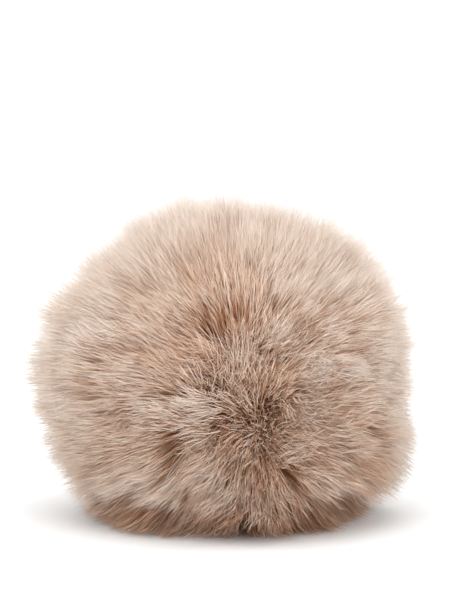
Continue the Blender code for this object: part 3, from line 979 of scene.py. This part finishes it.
sewing = {
    # each run: right and up as seen from behind, height over the seat, in mm
    "threads": [
        # slack loop under the ball of the stud
        [(-2.6, -3.6, 3.1), (-3.6, -3.9, 3.3), (-4.8, -4.4, 2.9), (-5.4, -5.5, 2.3), (-4.4, -6.4, 2.2),
         (-2.0, -6.5, 2.3), (1.4, -6.4, 2.2), (3.8, -6.6, 2.2), (5.2, -7.6, 2.3), (5.0, -9.2, 2.7),
         (6.4, -10.2, 2.5), (7.6, -11.4, 1.2), (8.2, -12.2, -0.6)],
        # curl and long run over the top
        [(-4.0, 3.6, 3.0), (-5.0, 3.7, 2.7), (-5.8, 4.6, 2.3), (-4.8, 5.6, 2.2), (-2.4, 6.0, 2.2),
         (0.4, 6.2, 2.3), (3.0, 5.2, 2.6), (5.4, 5.6, 2.3), (8.4, 6.2, 2.7), (10.2, 5.9, 2.7),
         (11.6, 5.6, 1.6), (12.6, 5.4, -0.6)],
        # stitches at the top hole and across to the right hole
        [(0.3, 8.1, 0.2), (0.2, 8.4, 1.6), (0.5, 9.0, 2.5), (0.9, 10.4, 2.9), (1.3, 11.6, 2.0),
         (1.6, 12.3, -0.6)],
        [(-0.4, 8.2, 0.2), (-0.4, 8.5, 1.7), (-0.6, 9.2, 2.5), (-0.9, 10.4, 2.9), (-1.2, 11.6, 2.0),
         (-1.5, 12.3, -0.6)],
        [(0.1, 8.0, 0.2), (0.4, 8.0, 1.9), (1.8, 8.2, 2.4), (4.2, 7.8, 2.3), (6.4, 6.2, 2.2),
         (7.8, 3.8, 2.3), (8.3, 1.2, 2.1), (8.2, 0.2, 0.6)],
        # stitches at the right hole
        [(8.1, 0.3, 0.2), (8.5, 0.3, 1.7), (9.3, 0.5, 2.5), (10.5, 0.8, 2.9), (11.6, 1.0, 2.0),
         (12.3, 1.2, -0.6)],
        [(8.2, -0.3, 0.2), (8.5, -0.4, 1.7), (9.2, -0.7, 2.5), (10.4, -1.1, 2.9), (11.5, -1.5, 2.0),
         (12.2, -1.8, -0.6)],
        # cut end beside the ball
        [(4.2, -3.2, 3.3), (5.4, -3.4, 3.0), (6.8, -3.3, 2.4), (7.8, -3.0, 2.3), (8.0, -2.0, 2.3),
         (8.1, -0.8, 1.7), (8.2, -0.2, 0.4)],
    ],
    "hairs": [
        [(11.8, 6.0, 2.0), (9.0, 3.4, 4.2), (6.0, 0.6, 5.6), (3.4, -1.8, 6.2), (0.6, -4.6, 5.4),
         (-1.4, -6.2, 3.6)],
        [(12.0, 4.6, 2.0), (10.4, 2.6, 3.6), (8.4, 0.4, 4.4), (6.4, -1.2, 4.2), (4.6, -3.0, 3.6)],
        [(11.4, 5.4, 2.0), (10.2, 3.4, 3.2), (9.6, 0.0, 3.6), (9.0, -4.0, 3.6), (7.4, -7.6, 3.4),
         (5.2, -11.2, 2.4)],
        [(12.2, 3.0, 1.6), (10.8, 0.6, 3.2), (9.8, -3.0, 3.4), (8.6, -6.4, 3.2), (6.6, -9.4, 2.8),
         (4.2, -11.8, 1.6)],
        [(11.6, 7.4, 1.6), (8.6, 6.4, 3.4), (5.4, 5.2, 3.8), (3.2, 4.2, 3.8)],
        [(-1.4, 12.2, 1.6), (0.8, 9.8, 3.2), (4.0, 8.2, 3.4), (7.6, 7.0, 3.2), (10.6, 5.2, 2.6)],
        [(-12.0, 3.6, 1.6), (-10.2, 4.2, 3.0), (-8.4, 4.8, 3.0), (-7.0, 5.0, 2.8)],
        [(-8.8, 9.2, 1.6), (-7.6, 8.2, 3.0), (-6.6, 7.4, 2.8)],
        [(10.4, -7.4, 1.4), (8.0, -8.6, 3.0), (5.4, -9.8, 3.0), (2.8, -10.4, 2.8)],
        [(2.8, 12.0, 1.6), (4.6, 9.6, 3.2), (7.0, 8.4, 3.4), (9.6, 7.6, 2.6), (11.8, 7.6, 1.4)],
    ],
    "thread": {"Radius": 0.17 * mm, "Ply Depth": 0.22, "Turns per Metre": 650.0, "Step": 0.22 * mm,
               "Sides": 9},
    "hair": {"Radius": 0.045 * mm, "Ply Depth": 0.0, "Turns per Metre": 0.0, "Step": 0.8 * mm, "Sides": 4},
    "plies": 3,
    "toneLength": 1.1111 * mm,
    "toneEdge": (0.35, 0.65),
}


def makeStrandTree():
    # a plied strand along each curve: a lobed section, turned as it goes
    tree = bpy.data.node_groups.new("plyStrand", "GeometryNodeTree")
    face = tree.interface
    face.new_socket("Course", in_out="INPUT", socket_type="NodeSocketGeometry")
    for name, kind in (("Radius", "Float"), ("Ply Depth", "Float"), ("Turns per Metre", "Float"),
                       ("Step", "Float"), ("Sides", "Int"), ("Finish", "Material")):
        face.new_socket(name, in_out="INPUT", socket_type="NodeSocket" + kind)
    face.new_socket("Strand", in_out="OUTPUT", socket_type="NodeSocketGeometry")
    given = addNode(tree, "NodeGroupInput").outputs
    course = addNode(tree, "GeometryNodeResampleCurve", {"Curve": given["Course"], "Length": given["Step"]},
                     mode="LENGTH")
    travelled = addNode(tree, "GeometryNodeSplineParameter")
    turns = addNode(tree, mathNode, {0: travelled.outputs["Length"], 1: given["Turns per Metre"]},
                    operation="MULTIPLY")
    angle = addNode(tree, mathNode, {0: turns, 1: math.tau}, operation="MULTIPLY")
    tilted = addNode(tree, "GeometryNodeSetCurveTilt", {"Curve": course, "Tilt": angle})
    section = addNode(tree, "GeometryNodeCurvePrimitiveCircle", {"Resolution": given["Sides"], "Radius": 1.0})
    around = addNode(tree, "GeometryNodeSplineParameter")
    lobes = addNode(tree, mathNode, {0: around, 1: sewing["plies"] * math.tau}, operation="MULTIPLY")
    wave = addNode(tree, mathNode, {0: lobes}, operation="COSINE")
    depth = addNode(tree, mathNode, {0: wave, 1: given["Ply Depth"], 2: 1.0}, operation="MULTIPLY_ADD")
    scale = addNode(tree, mathNode, {0: depth, 1: given["Radius"]}, operation="MULTIPLY")
    at = addNode(tree, "GeometryNodeInputPosition")
    placed = addNode(tree, vectorNode, {0: at, "Scale": scale}, operation="SCALE")
    lobed = addNode(tree, "GeometryNodeSetPosition", {"Geometry": section, "Position": placed})
    swept = addNode(tree, "GeometryNodeCurveToMesh",
                    {"Curve": tilted, "Profile Curve": lobed, "Fill Caps": True})
    smooth = addNode(tree, "GeometryNodeSetShadeSmooth", {"Geometry": swept, "Shade Smooth": True})
    real = addNode(tree, "GeometryNodeRealizeInstances", {"Geometry": smooth})
    coloured = addNode(tree, "GeometryNodeSetMaterial", {"Geometry": real, "Material": given["Finish"]})
    addNode(tree, "NodeGroupOutput", {"Strand": coloured})
    return tree


def makeStrands(name, runs, sizes, material, tree):
    data = bpy.data.curves.new(name, "CURVE")
    data.dimensions = "3D"
    for run in runs:
        spline = data.splines.new("NURBS")
        spline.points.add(len(run) - 1)
        spline.order_u = 3
        spline.use_endpoint_u = True
        for point, (across, above, height) in zip(spline.points, run):
            point.co = (*(seatAt + Vector((-across, height, above)) * mm), 1)
    return plainMesh(bpy.data.objects.new(name, data), tree, {**sizes, "Finish": material})


def makeStrandMaterial(name, dark, light, roughness):
    # drawn fibre with small differences of tone along it
    material, tree, shader = newMaterial(name)
    coords = addNode(tree, "ShaderNodeTexCoord")
    tone = addNode(tree, "ShaderNodeTexNoise",
                   {"Vector": coords.outputs["Object"], "Scale": 1 / sewing["toneLength"]})
    colour = addNode(tree, "ShaderNodeValToRGB", {"Fac": tone})
    start, end = sewing["toneEdge"]
    setRamp(colour, [(start, hexColour(dark)), (end, hexColour(light))])
    feed(tree, shader, {"Base Color": colour, "Roughness": roughness})
    return material


strandTree = makeStrandTree()
for name, runs, sizes, slot, finish in (
        ("sewing_thread", sewing["threads"], sewing["thread"], None,
         ("spun polyester thread, black", "#0B0A0A", "#2B2727", 0.5)),
        ("stray_fibres", sewing["hairs"], sewing["hair"], "faux_fur",
         ("loose modacrylic fibre", "#D9C7B5", "#F3EADF", 0.4))):
    mesh = makeStrands(name, runs, sizes, makeStrandMaterial(*finish), strandTree)
    addPiece(name, mesh)
